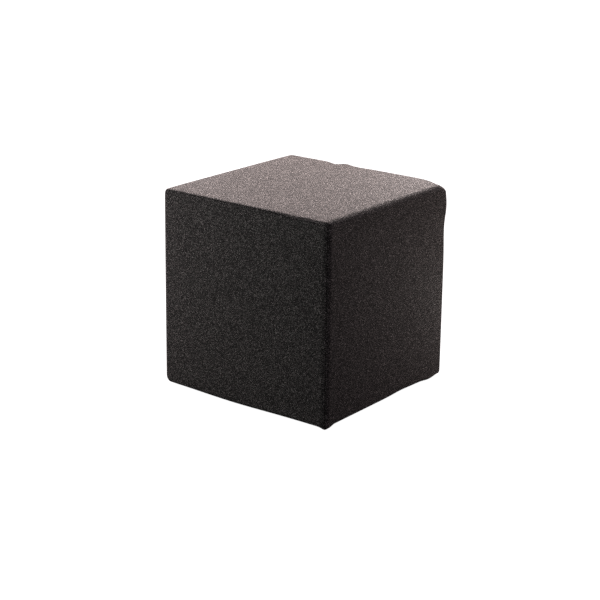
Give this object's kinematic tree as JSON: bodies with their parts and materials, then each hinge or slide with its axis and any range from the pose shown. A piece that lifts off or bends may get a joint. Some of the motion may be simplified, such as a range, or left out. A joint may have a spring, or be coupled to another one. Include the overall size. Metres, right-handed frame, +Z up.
{
  "type": "cube pouf stool",
  "caption": "Cube-shaped padded pouf stool in dark melange woven cloth, with a wrapped strip over the top and sides and a sewn-in square panel at each end.",
  "frame": {"origin": "middle of the underside panel, on the floor", "axes": "+Z up; -Y towards the front end panel; +X towards the right side of the wrap; the wrap runs up the left side, over the top and down the right side"},
  "size_m": [0.4564, 0.4504, 0.4556],
  "materials": {
    "melange_cloth": "matt woven wool-like cloth, charcoal brown with fine light flecks",
    "base_cloth": "plain matt underside cloth"
  },
  "bodies": {
    "root": {"body_wrap": "melange_cloth", "front_panel": "melange_cloth", "back_panel": "melange_cloth", "base_panel": "base_cloth"}
  },
  "joints": []
}
